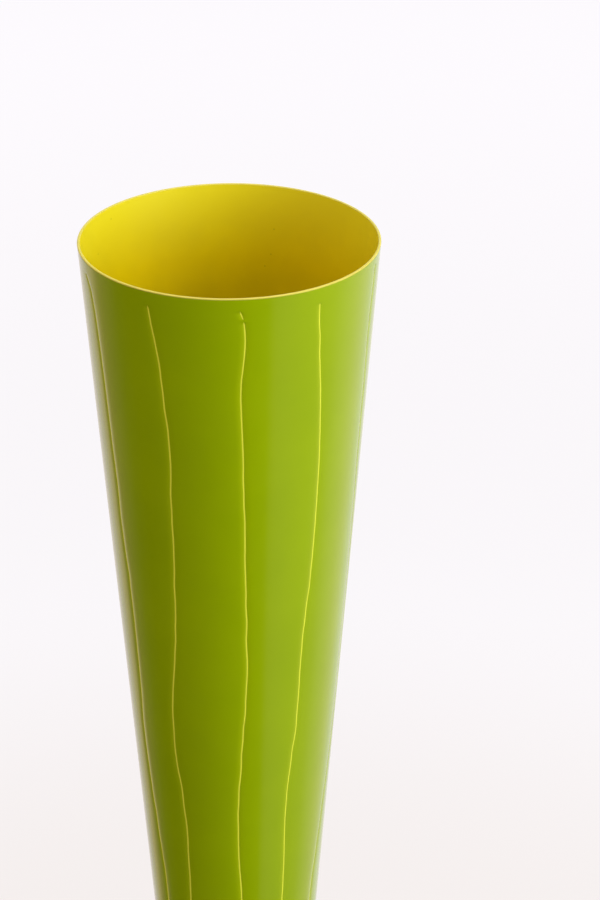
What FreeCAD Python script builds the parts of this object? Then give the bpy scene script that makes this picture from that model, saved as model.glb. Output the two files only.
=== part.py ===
import FreeCAD, Part
import math
import os
import Sketcher

# Trumpet vase: a tall straight cone of thin sheet metal, enamelled yellow inside and glossy
# green outside, with ten wandering lines scribed through the green, on a weighted flared foot.
# Millimetres, +Z up, origin at the centre of the felt that the vase stands on.
# Walls of the cone are measured level.

SIZES = {
    # the whole vase, over the green enamel
    "mouth_diameter": 152.0,
    "overall_height": 610.0,
    "waist_diameter": 59.8,
    "waist_height": 58.0,
    # sheet metal and enamel of the body
    "body_wall": 1.1,
    "coat_thickness": 0.3,
    "edge_reveal": 0.8,
    "joint_reveal": 0.4,
    # lines scribed through the green enamel
    "line_width": 0.7,
    "cut_overrun": 0.5,
    # floor cup, pressed into the narrow end of the cone
    "cup_wall": 1.2,
    "cup_depth": 8.0,
    "cup_clearance": 0.1,
    "cup_bend_radius": 2.0,
    # foot, spun from one sheet, with a neck that stands up inside the cone
    "foot_diameter": 126.0,
    "foot_wall": 1.2,
    "foot_lift": 0.8,
    "skirt_height": 7.0,
    "shoulder_radius": 6.0,
    "rim_flange_width": 2.5,
    "neck_height": 12.0,
    "neck_clearance": 0.1,
    "neck_bend_radius": 2.0,
    # stud that draws the foot to the cup, with its gasket, tube, washer and nut
    "stud_diameter": 8.0,
    "stud_flange_diameter": 20.0,
    "stud_flange_thickness": 2.0,
    "stud_overhang": 1.0,
    "stud_chamfer": 0.8,
    "hole_clearance": 0.5,
    "thread_clearance": 0.05,
    "gasket_thickness": 1.5,
    "tube_diameter": 14.0,
    "washer_diameter": 16.0,
    "washer_thickness": 1.6,
    "nut_across_flats": 13.0,
    "nut_height": 6.5,
    # weight, plate and felt that close the foot
    "weight_diameter": 88.0,
    "weight_thickness": 14.0,
    "weight_edge_radius": 2.0,
    "nut_recess_diameter": 22.0,
    "nut_recess_depth": 9.0,
    "plate_thickness": 1.2,
    "plate_clearance": 0.2,
    "access_hole_diameter": 24.0,
    "felt_clearance": 0.5,
}

# Each line's bends, as a share of the way down from the lip to the waist, with the bearing in
# degrees: 0 faces the front (-Y), and it grows towards +X.
SCRIBED_LINE_SHARES = (
    ((0.012, -69.0), (0.027, -65.2), (0.06, -63.0), (0.11, -61.8), (0.17, -60.9), (0.22, -59.9),
     (0.26, -60.1), (0.32, -58.1), (0.40, -57.8), (0.44, -58.4), (0.48, -59.8), (0.54, -57.8),
     (0.59, -55.1), (0.65, -52.0), (0.73, -52.6), (0.82, -55.4), (0.90, -56.0), (0.985, -54.0)),
    ((0.015, -31.0), (0.035, -30.1), (0.065, -28.0), (0.10, -26.9), (0.16, -25.3), (0.21, -26.2),
     (0.29, -26.9), (0.36, -28.5), (0.41, -31.6), (0.45, -33.8), (0.485, -33.8), (0.54, -30.6),
     (0.58, -29.7), (0.65, -30.1), (0.74, -32.0), (0.83, -31.0), (0.91, -28.6), (0.98, -28.0)),
    ((0.013, 5.0), (0.045, 7.0), (0.07, 6.0), (0.10, 5.1), (0.145, 5.7), (0.24, 6.9),
     (0.33, 7.7), (0.41, 7.9), (0.45, 6.5), (0.49, 5.0), (0.53, 3.8), (0.58, 3.3),
     (0.65, 5.0), (0.73, 7.2), (0.81, 6.6), (0.90, 4.4), (0.985, 4.0)),
    ((0.016, 36.9), (0.045, 37.6), (0.08, 38.9), (0.12, 40.4), (0.17, 41.5), (0.24, 41.7),
     (0.29, 41.1), (0.33, 39.6), (0.37, 38.2), (0.43, 37.8), (0.47, 37.0), (0.51, 34.6),
     (0.56, 33.2), (0.62, 34.0), (0.70, 34.6), (0.79, 36.9), (0.88, 38.0), (0.985, 36.0)),
    ((0.008, 74.3), (0.03, 74.1), (0.065, 72.9), (0.12, 74.0), (0.20, 75.2), (0.26, 78.0),
     (0.33, 80.5), (0.43, 81.0), (0.51, 77.6), (0.57, 72.0), (0.62, 68.0), (0.655, 64.6),
     (0.72, 63.8), (0.80, 66.8), (0.89, 70.0), (0.98, 70.8)),
    ((0.013, 111.0), (0.05, 112.5), (0.12, 114.5), (0.20, 113.5), (0.29, 111.5), (0.37, 112.0),
     (0.45, 115.0), (0.52, 117.0), (0.60, 115.5), (0.70, 112.5), (0.80, 111.5), (0.90, 113.5),
     (0.985, 115.0)),
    ((0.016, 147.0), (0.06, 149.0), (0.14, 150.5), (0.23, 149.0), (0.31, 147.0), (0.40, 148.5),
     (0.48, 151.5), (0.57, 152.0), (0.66, 149.5), (0.76, 147.5), (0.87, 149.0), (0.98, 151.0)),
    ((0.012, 186.0), (0.04, 184.0), (0.11, 182.5), (0.20, 184.0), (0.28, 186.5), (0.36, 187.0),
     (0.44, 184.5), (0.53, 182.0), (0.62, 183.0), (0.72, 186.0), (0.82, 188.0), (0.91, 187.0),
     (0.985, 185.0)),
    ((0.015, 222.0), (0.05, 223.5), (0.13, 222.0), (0.21, 219.0), (0.30, 218.5), (0.38, 221.0),
     (0.47, 224.0), (0.55, 224.5), (0.64, 222.0), (0.74, 219.5), (0.85, 219.0), (0.975, 221.5)),
    ((0.011, 259.0), (0.05, 257.0), (0.12, 256.5), (0.20, 258.5), (0.29, 261.0), (0.37, 261.5),
     (0.46, 259.0), (0.55, 257.0), (0.64, 258.0), (0.75, 261.0), (0.86, 262.5), (0.985, 260.0)),
)

# The cone's long sides are drawn as this many bands, one above the other, so that no face of
# the cone or of its enamel is much longer than it is wide.
CONE_BANDS = 12
# A rolled edge is rounded by this share of its wall, and a nut's corners by this share of
# the width that their chamfer takes off.
ROLLED_EDGE_SHARE = 0.45
NUT_CHAMFER_SHARE = 0.577
NUT_SIDES = 6
FULL_TURN = 360.0
NEAR = 1e-4

document = FreeCAD.newDocument("TrumpetVase")
sheet = document.addObject("Spreadsheet::Sheet", "Sizes")
for row, (alias, number) in enumerate(SIZES.items(), start=1):
    sheet.set(f"A{row}", alias)
    sheet.set(f"B{row}", str(number))
    sheet.setAlias(f"B{row}", alias)
document.recompute()


class Measure:
    """A length: its value now, and the formula on the sheet's sizes that it is bound to."""

    def __init__(self, value, formula):
        self.value = float(value)
        self.formula = formula

    def __add__(self, other):
        other = measured(other)
        return Measure(self.value + other.value, f"({self.formula} + {other.formula})")

    def __sub__(self, other):
        other = measured(other)
        return Measure(self.value - other.value, f"({self.formula} - {other.formula})")

    def __mul__(self, other):
        other = measured(other)
        return Measure(self.value * other.value, f"({self.formula} * {other.formula})")

    def __truediv__(self, other):
        other = measured(other)
        return Measure(self.value / other.value, f"({self.formula} / {other.formula})")


def measured(number):
    """A plain number as a Measure; a Measure as it is."""
    if isinstance(number, Measure):
        return number
    return Measure(number, repr(float(number)))


def size(alias):
    """The named size of the sheet."""
    return Measure(SIZES[alias], f"Sizes.{alias}")


def root(measure):
    """The square root of a Measure."""
    return Measure(math.sqrt(measure.value), f"sqrt({measure.formula})")


def bind(feature, name, measure):
    """Tie a feature's property to the sheet."""
    feature.setExpression(name, measure.formula)


ZERO = measured(0)

# Outer surfaces of the cone: the green enamel, the metal under it, and the metal's inside.
mouth_radius = size("mouth_diameter") / 2
waist_radius = size("waist_diameter") / 2
rim_height = size("overall_height")
waist_height = size("waist_height")
taper = (mouth_radius - waist_radius) / (rim_height - waist_height)
coat = size("coat_thickness")
body_wall = size("body_wall")


def enamel_radius(height):
    """Radius over the green enamel of the cone at a height."""
    return waist_radius + taper * (height - waist_height)


def metal_radius(height):
    """Radius of the cone's metal at a height."""
    return enamel_radius(height) - coat


def inside_radius(height):
    """Radius of the cone's hollow at a height."""
    return metal_radius(height) - body_wall


# Foot: a concave sweep from the waist that runs tangent into a round shoulder and a short
# upright skirt. Both arcs turn by the same angle, which the spread and the fall give.
foot_wall = size("foot_wall")
foot_metal = size("foot_diameter") / 2 - coat
waist_metal = metal_radius(waist_height)
skirt_height = size("skirt_height")
shoulder_radius = size("shoulder_radius")
foot_spread = foot_metal - waist_metal
foot_fall = waist_height - skirt_height
sweep = (foot_fall * foot_fall + foot_spread * foot_spread) / (foot_spread * 2)
flare_radius = sweep - shoulder_radius
sweep_cosine = measured(1) - foot_spread / sweep
sweep_sine = foot_fall / sweep
flare_centre = (waist_metal + flare_radius, waist_height)
shoulder_centre = (foot_metal - shoulder_radius, skirt_height)
neck_top = waist_height + size("neck_height")
neck_radius = inside_radius(waist_height) - size("neck_clearance")

# Heights of the stack that the stud holds together, from the table up.
rim_flange_top = size("foot_lift") + foot_wall
plate_top = rim_flange_top + size("plate_thickness")
weight_top = plate_top + size("weight_thickness")
recess_top = plate_top + size("nut_recess_depth")
washer_bottom = recess_top - size("washer_thickness")
nut_bottom = washer_bottom - size("nut_height")
gasket_top = neck_top + size("gasket_thickness")
floor_bottom = gasket_top + size("stud_flange_thickness")
stud_radius = size("stud_diameter") / 2
stud_hole_radius = stud_radius + size("hole_clearance")
rim_flange_radius = foot_metal - foot_wall - size("rim_flange_width")


class Outline:
    """A closed outline of lines and arcs, each corner at a radius and a height."""

    def __init__(self, radius, height):
        self.corners = [(radius, height)]
        self.edges = []

    def line(self, radius, height):
        """A straight edge to the next corner."""
        self.corners.append((radius, height))
        self.edges.append(None)
        return self

    def arc(self, radius, height, centre, bend):
        """An arc of under a half turn to the next corner, about a centre."""
        self.corners.append((radius, height))
        self.edges.append((centre, bend))
        return self

    def sketch(self, body, label):
        """Draw the outline in the body's XZ plane and pin it to the sheet."""
        sketch = body.newObject("Sketcher::SketchObject", label)
        plane = next(item for item in body.Origin.OriginFeatures if item.Role == "XZ_Plane")
        sketch.AttachmentSupport = (plane, "")
        sketch.MapMode = "FlatFace"
        edges = self.edges + [None]
        count = len(edges)
        ends = []
        for number, edge in enumerate(edges):
            start = self.corners[number]
            finish = self.corners[(number + 1) % count]
            ends.append(self._draw(sketch, edge, start, finish))
        for number in range(count):
            geometry, first, last = ends[number]
            following = ends[(number + 1) % count]
            sketch.addConstraint(
                Sketcher.Constraint("Coincident", geometry, last, following[0], following[1])
            )
            self._pin(sketch, geometry, first, self.corners[number])
        for number, edge in enumerate(edges):
            if edge is not None:
                bend = edge[1]
                index = sketch.addConstraint(
                    Sketcher.Constraint("Radius", ends[number][0], bend.value)
                )
                bind(sketch, f"Constraints[{index}]", bend)
        return sketch

    @staticmethod
    def _draw(sketch, edge, start, finish):
        """Add one edge; return its index and which of its ends comes first and last."""
        first = FreeCAD.Vector(start[0].value, start[1].value, 0)
        last = FreeCAD.Vector(finish[0].value, finish[1].value, 0)
        if edge is None:
            return sketch.addGeometry(Part.LineSegment(first, last)), 1, 2
        (across, up), bend = edge
        centre = FreeCAD.Vector(across.value, up.value, 0)
        circle = Part.Circle(centre, FreeCAD.Vector(0, 0, 1), bend.value)
        begin = math.atan2(first.y - centre.y, first.x - centre.x)
        end = math.atan2(last.y - centre.y, last.x - centre.x)
        if (end - begin) % (2 * math.pi) < math.pi:
            return sketch.addGeometry(Part.ArcOfCircle(circle, begin, end)), 1, 2
        return sketch.addGeometry(Part.ArcOfCircle(circle, end, begin)), 2, 1

    @staticmethod
    def _pin(sketch, geometry, point, corner):
        """Hold one corner at its radius and its height."""
        for kind, measure, axis in (("DistanceX", corner[0], -2), ("DistanceY", corner[1], -1)):
            if measure is ZERO:
                sketch.addConstraint(
                    Sketcher.Constraint("PointOnObject", geometry, point, axis)
                )
                continue
            index = sketch.addConstraint(
                Sketcher.Constraint(kind, geometry, point, measure.value)
            )
            bind(sketch, f"Constraints[{index}]", measure)


def turned(label, outline):
    """A piece of revolution about the vase's axis, as a body named by its label."""
    body = document.addObject("PartDesign::Body", label)
    body.Label = label
    sketch = outline.sketch(body, f"{label}_outline")
    document.recompute()
    revolution = body.newObject("PartDesign::Revolution", f"{label}_turning")
    revolution.Profile = sketch
    revolution.ReferenceAxis = (sketch, ["V_Axis"])
    revolution.Angle = FULL_TURN
    revolution.Refine = False
    document.recompute()
    return body


def rounded(body, corners, radius):
    """Round the circular edges of a turned body that pass through the corners."""
    edges = []
    for number, edge in enumerate(body.Tip.Shape.Edges, start=1):
        curve = edge.Curve
        if not isinstance(curve, Part.Circle):
            continue
        if abs(curve.Axis.z) < 1 - NEAR:
            continue
        for across, up in corners:
            level = abs(curve.Center.z - up.value) < NEAR
            if level and abs(curve.Radius - across.value) < NEAR:
                edges.append(f"Edge{number}")
    if len(edges) != len(corners):
        raise RuntimeError(f"{body.Label}: found {len(edges)} of {len(corners)} edges to round")
    base = body.Tip
    fillet = body.newObject("PartDesign::Fillet", f"{body.Label}_round_{len(body.Group)}")
    fillet.Base = (base, edges)
    bind(fillet, "Radius", radius)
    document.recompute()
    return body


def ring(label, inner, outer, bottom, top):
    """A flat ring or a tube about the axis; with no inner radius it is a disc."""
    outline = Outline(inner, bottom).line(outer, bottom).line(outer, top).line(inner, top)
    return turned(label, outline)


def cone_side(surface, bottom, top):
    """Corners up one of the cone's surfaces, in bands."""
    step = (top - bottom) / CONE_BANDS
    heights = [bottom + step * band for band in range(CONE_BANDS)] + [top]
    return [(surface(height), height) for height in heights]


def straight_outline(corners):
    """A closed outline of straight edges through the corners."""
    outline = Outline(*corners[0])
    for corner in corners[1:]:
        outline.line(*corner)
    return outline


def make_body_shell():
    """The cone of sheet metal, open at both ends, its rolled lip level with the green enamel."""
    lip_inside = inside_radius(rim_height)
    lip_bottom = rim_height - size("edge_reveal")
    outside = cone_side(metal_radius, waist_height, lip_bottom)
    lip = [(mouth_radius, lip_bottom), (mouth_radius, rim_height)]
    inside = cone_side(inside_radius, waist_height, rim_height)
    body = turned("body_shell", straight_outline(outside + lip + inside[::-1]))
    edges = ((mouth_radius, rim_height), (lip_inside, rim_height))
    return rounded(body, edges, body_wall * ROLLED_EDGE_SHARE)


def line_cutter(bends):
    """A thin blade that follows one scribed line, through the coat."""
    overrun = SIZES["cut_overrun"]
    half_width = SIZES["line_width"] / 2
    scribed_length = rim_height.value - waist_height.value
    sections = []
    for down_share, bearing in bends:
        height = rim_height.value - down_share * scribed_length
        position = measured(height)
        angle = math.radians(bearing)
        outward = FreeCAD.Vector(math.sin(angle), -math.cos(angle), 0)
        sideways = FreeCAD.Vector(math.cos(angle), math.sin(angle), 0)
        level = FreeCAD.Vector(0, 0, height)
        inner = outward * (metal_radius(position).value - overrun)
        outer = outward * (enamel_radius(position).value + overrun)
        corners = [
            level + inner - sideways * half_width,
            level + outer - sideways * half_width,
            level + outer + sideways * half_width,
            level + inner + sideways * half_width,
        ]
        sections.append(Part.makePolygon(corners + corners[:1]))
    return Part.makeLoft(sections, True, True)


def make_body_green_coat():
    """The green enamel of the cone, with the scribed lines cut through it."""
    bottom = waist_height + size("joint_reveal")
    top = rim_height - size("edge_reveal")
    outside = cone_side(enamel_radius, bottom, top)
    inside = cone_side(metal_radius, bottom, top)
    whole = turned("unscribed_coat", straight_outline(outside + inside[::-1]))
    blades = document.addObject("Part::Feature", "scribed_lines")
    blades.Shape = Part.makeCompound([line_cutter(bends) for bends in SCRIBED_LINE_SHARES])
    scribed = document.addObject("Part::Cut", "body_green_coat")
    scribed.Label = "body_green_coat"
    scribed.Base = whole
    scribed.Tool = blades
    return scribed


def make_floor_cup():
    """The watertight floor, with a flange that wedges in the cone."""
    wall = size("cup_wall")
    clearance = size("cup_clearance")
    top = floor_bottom + size("cup_depth")
    floor_top = floor_bottom + wall
    bend = size("cup_bend_radius")
    base_radius = inside_radius(floor_bottom) - clearance
    hollow_radius = inside_radius(floor_top) - clearance - wall
    outline = Outline(ZERO, floor_bottom)
    outline.line(base_radius, floor_bottom)
    outline.line(inside_radius(top) - clearance, top)
    outline.line(inside_radius(top) - clearance - wall, top)
    outline.line(hollow_radius, floor_top)
    outline.line(ZERO, floor_top)
    body = turned("floor_cup", outline)
    rounded(body, ((base_radius, floor_bottom),), bend)
    return rounded(body, ((hollow_radius, floor_top),), bend - wall)


def make_foot_stud():
    """The stud, welded by its flange under the floor cup."""
    flange_radius = size("stud_flange_diameter") / 2
    tip = nut_bottom - size("stud_overhang")
    chamfer = size("stud_chamfer")
    outline = Outline(ZERO, tip)
    outline.line(stud_radius - chamfer, tip)
    outline.line(stud_radius, tip + chamfer)
    outline.line(stud_radius, gasket_top)
    outline.line(flange_radius, gasket_top)
    outline.line(flange_radius, floor_bottom)
    outline.line(ZERO, floor_bottom)
    return turned("foot_stud", outline)


def make_seat_gasket():
    """The soft ring between the stud's flange and the top of the foot's neck."""
    outer = size("stud_flange_diameter") / 2
    return ring("seat_gasket", stud_hole_radius, outer, neck_top, gasket_top)


def flare_joint(offset):
    """Where the sweep meets the shoulder, on a surface that lies an offset outside the metal."""
    reach = flare_radius - offset
    across = flare_centre[0] - reach * sweep_cosine
    up = flare_centre[1] - reach * sweep_sine
    return across, up


def flare_edge(offset, drop):
    """Radius of the sweep a little below the waist, on a surface outside the metal."""
    reach = flare_radius - offset
    return flare_centre[0] - root(reach * reach - drop * drop)


def make_foot_shell():
    """The foot: neck, ledge for the cone, sweep, shoulder, skirt and turned-in rim."""
    inward = ZERO - foot_wall
    neck_inside = neck_radius - foot_wall
    skirt_inside = foot_metal - foot_wall
    ledge_bottom = waist_height - foot_wall
    lift = size("foot_lift")
    bend = size("neck_bend_radius")
    outline = Outline(stud_hole_radius, neck_top)
    outline.line(neck_radius, neck_top)
    outline.line(neck_radius, waist_height)
    outline.line(waist_metal, waist_height)
    outline.arc(*flare_joint(ZERO), flare_centre, flare_radius)
    outline.arc(foot_metal, skirt_height, shoulder_centre, shoulder_radius)
    outline.line(foot_metal, lift)
    outline.line(rim_flange_radius, lift)
    outline.line(rim_flange_radius, rim_flange_top)
    outline.line(skirt_inside, rim_flange_top)
    outline.line(skirt_inside, skirt_height)
    outline.arc(*flare_joint(inward), shoulder_centre, shoulder_radius - foot_wall)
    outline.arc(flare_edge(inward, foot_wall), ledge_bottom, flare_centre, flare_radius + foot_wall)
    outline.line(neck_inside, ledge_bottom)
    outline.line(neck_inside, neck_top - foot_wall)
    outline.line(stud_hole_radius, neck_top - foot_wall)
    body = turned("foot_shell", outline)
    rounded(body, ((neck_radius, neck_top),), bend)
    rounded(body, ((neck_inside, neck_top - foot_wall),), bend - foot_wall)
    return rounded(body, ((foot_metal, lift),), foot_wall * ROLLED_EDGE_SHARE)


def make_foot_green_coat():
    """The green enamel of the foot, from just under the waist to just above the rim."""
    drop = size("joint_reveal")
    top = waist_height - drop
    bottom = size("foot_lift") + size("edge_reveal")
    enamel = foot_metal + coat
    outline = Outline(flare_edge(ZERO, drop), top)
    outline.arc(*flare_joint(ZERO), flare_centre, flare_radius)
    outline.arc(foot_metal, skirt_height, shoulder_centre, shoulder_radius)
    outline.line(foot_metal, bottom)
    outline.line(enamel, bottom)
    outline.line(enamel, skirt_height)
    outline.arc(*flare_joint(coat), shoulder_centre, shoulder_radius + coat)
    outline.arc(flare_edge(coat, drop), top, flare_centre, flare_radius - coat)
    return turned("foot_green_coat", outline)


def make_spacer_tube():
    """The tube that keeps the weight down when the nut is tightened."""
    outer = size("tube_diameter") / 2
    return ring("spacer_tube", stud_hole_radius, outer, weight_top, neck_top - foot_wall)


def make_foot_weight():
    """The cast weight, with a recess for the nut under it."""
    outer = size("weight_diameter") / 2
    recess = size("nut_recess_diameter") / 2
    outline = Outline(recess, plate_top)
    outline.line(outer, plate_top)
    outline.line(outer, weight_top)
    outline.line(stud_hole_radius, weight_top)
    outline.line(stud_hole_radius, recess_top)
    outline.line(recess, recess_top)
    body = turned("foot_weight", outline)
    corners = ((outer, plate_top), (outer, weight_top))
    return rounded(body, corners, size("weight_edge_radius"))


def make_stud_washer():
    """The washer between the nut and the weight."""
    outer = size("washer_diameter") / 2
    return ring("stud_washer", stud_hole_radius, outer, washer_bottom, recess_top)


def make_stud_nut():
    """The hexagon nut: a turned blank with chamfered corners, trimmed to its flats."""
    bore = stud_radius + size("thread_clearance")
    face = size("nut_across_flats") / 2
    corner = Measure(
        face.value / math.cos(math.pi / NUT_SIDES),
        f"({face.formula} / cos(180 / {NUT_SIDES}))",
    )
    blank_radius = corner + size("cut_overrun")
    rise = (blank_radius - face) * NUT_CHAMFER_SHARE
    top = washer_bottom
    outline = Outline(bore, nut_bottom)
    outline.line(face, nut_bottom)
    outline.line(blank_radius, nut_bottom + rise)
    outline.line(blank_radius, top - rise)
    outline.line(face, top)
    outline.line(bore, top)
    blank = turned("nut_blank", outline)
    flats = document.addObject("Part::Prism", "nut_flats")
    flats.Polygon = NUT_SIDES
    bind(flats, "Circumradius", corner)
    bind(flats, "Height", size("nut_height"))
    bind(flats, "Placement.Base.z", nut_bottom)
    nut = document.addObject("Part::Common", "stud_nut")
    nut.Label = "stud_nut"
    nut.Base = flats
    nut.Tool = blank
    return nut


def make_base_plate():
    """The plate that closes the foot, held over the turned-in rim."""
    outer = foot_metal - foot_wall - size("plate_clearance")
    hole = size("access_hole_diameter") / 2
    return ring("base_plate", hole, outer, rim_flange_top, plate_top)


def make_felt_pad():
    """The felt that the vase stands on, a little proud of the rim."""
    outer = rim_flange_radius - size("felt_clearance")
    return ring("felt_pad", ZERO, outer, ZERO, rim_flange_top)


pieces = [
    make_body_shell(),
    make_body_green_coat(),
    make_floor_cup(),
    make_foot_stud(),
    make_seat_gasket(),
    make_foot_shell(),
    make_foot_green_coat(),
    make_spacer_tube(),
    make_foot_weight(),
    make_stud_washer(),
    make_stud_nut(),
    make_base_plate(),
    make_felt_pad(),
]
document.recompute()

for item in document.Objects:
    if "Invalid" in item.State or "Error" in item.State:
        raise RuntimeError(f"{item.Label} failed: {item.State}")
for piece in pieces:
    if piece.Shape.isNull() or not piece.Shape.isValid():
        raise RuntimeError(f"{piece.Label} has no valid shape")
    if len(piece.Shape.Solids) != 1:
        raise RuntimeError(f"{piece.Label} has {len(piece.Shape.Solids)} solids")

os.makedirs("parts", exist_ok=True)
for piece in pieces:
    piece.Shape.exportStep(f"parts/{piece.Label}.step")
    box = piece.Shape.BoundBox
    print(f"{piece.Label}: volume {piece.Shape.Volume:.1f}, z {box.ZMin:.2f} to {box.ZMax:.2f}")
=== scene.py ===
"""Trumpet vase of enamelled sheet metal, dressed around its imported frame.

The cone is yellow enamel inside and glossy green enamel outside. Ten lines are scribed by hand
through the green, down to the yellow. The flared foot is finished like the cone.
All lengths are metres, unless a name ends in _mm.
"""

from __future__ import annotations

import logging
import math
from dataclasses import dataclass, field
from enum import Enum
from typing import Any, Sequence

import bpy
from mathutils import Matrix, Vector, noise

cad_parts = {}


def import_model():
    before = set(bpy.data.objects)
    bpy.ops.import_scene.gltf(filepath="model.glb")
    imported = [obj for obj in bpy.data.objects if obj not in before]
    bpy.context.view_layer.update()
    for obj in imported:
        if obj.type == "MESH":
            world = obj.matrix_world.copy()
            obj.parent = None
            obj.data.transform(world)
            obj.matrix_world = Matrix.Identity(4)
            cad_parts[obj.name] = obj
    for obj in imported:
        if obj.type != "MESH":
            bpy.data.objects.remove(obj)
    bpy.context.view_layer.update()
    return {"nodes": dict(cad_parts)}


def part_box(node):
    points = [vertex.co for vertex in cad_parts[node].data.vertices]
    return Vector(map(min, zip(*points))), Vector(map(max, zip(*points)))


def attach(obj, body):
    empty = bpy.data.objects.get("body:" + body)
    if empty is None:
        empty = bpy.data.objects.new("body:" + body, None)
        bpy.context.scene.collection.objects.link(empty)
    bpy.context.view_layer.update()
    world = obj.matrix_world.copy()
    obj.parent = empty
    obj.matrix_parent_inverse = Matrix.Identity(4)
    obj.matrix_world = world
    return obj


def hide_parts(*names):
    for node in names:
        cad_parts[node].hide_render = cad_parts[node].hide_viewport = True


LOG = logging.getLogger("trumpet_vase")
MM = 0.001
FULL_TURN = 360.0
BODY = "root"

Tree = bpy.types.NodeTree
Socket = bpy.types.NodeSocket
Pair = tuple[float, float]
Place = tuple[float, float, float]
Profile = list[Pair]

# Most of a noise texture's values lie between these two.
NOISE_RANGE: Pair = (0.3, 0.7)


class Slot(Enum):
    """The material slots."""

    YELLOW = "yellow_enamel"
    GREEN = "green_enamel"
    STEEL = "zinc_steel"
    IRON = "cast_iron"
    RUBBER = "rubber"
    FELT = "felt"


def linear(hex_colour: str) -> tuple[float, float, float, float]:
    """Turn an sRGB hex colour into linear light.

    Args:
        hex_colour: six hex digits, such as "8FA600".

    Returns:
        Linear red, green and blue, and an alpha of 1.
    """
    channels = [int(hex_colour[place:place + 2], 16) / 255 for place in (0, 2, 4)]
    light = [c / 12.92 if c <= 0.04045 else ((c + 0.055) / 1.055) ** 2.4 for c in channels]
    return light[0], light[1], light[2], 1.0


def per_metre(size_mm: float) -> float:
    """Return the texture scale at which one cell of a pattern measures size_mm."""
    return 1 / (size_mm * MM)


def add_node(
    tree: Tree,
    kind: str,
    settings: dict[str, Any] | None = None,
    inputs: dict[str | int, Any] | None = None,
) -> bpy.types.Node:
    """Add a node with its settings, its input values and its links.

    Args:
        tree: the node tree to add to.
        kind: the node's type, such as "ShaderNodeMix".
        settings: attribute names of the node and their values.
        inputs: socket names or numbers, each with a value or an output socket to link.

    Returns:
        The new node.
    """
    node = tree.nodes.new(kind)
    for name, value in (settings or {}).items():
        setattr(node, name, value)
    for socket, value in (inputs or {}).items():
        if isinstance(value, Socket):
            tree.links.new(value, node.inputs[socket])
        else:
            node.inputs[socket].default_value = value
    return node


def set_stops(
    ramp: bpy.types.ColorRamp, smoothing: str, stops: Sequence[tuple[float, Sequence[float]]]
) -> None:
    """Give a colour ramp its stops.

    Args:
        ramp: the ramp, which starts with two stops.
        smoothing: how the colour runs between two stops, "LINEAR" or "EASE".
        stops: each stop's place on the ramp, from 0 to 1, and its linear colour with alpha.
    """
    ramp.interpolation = smoothing
    while len(ramp.elements) < len(stops):
        ramp.elements.new(0.5)
    for element, (position, colour) in zip(ramp.elements, stops):
        element.position = position
        element.color = colour


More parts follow.
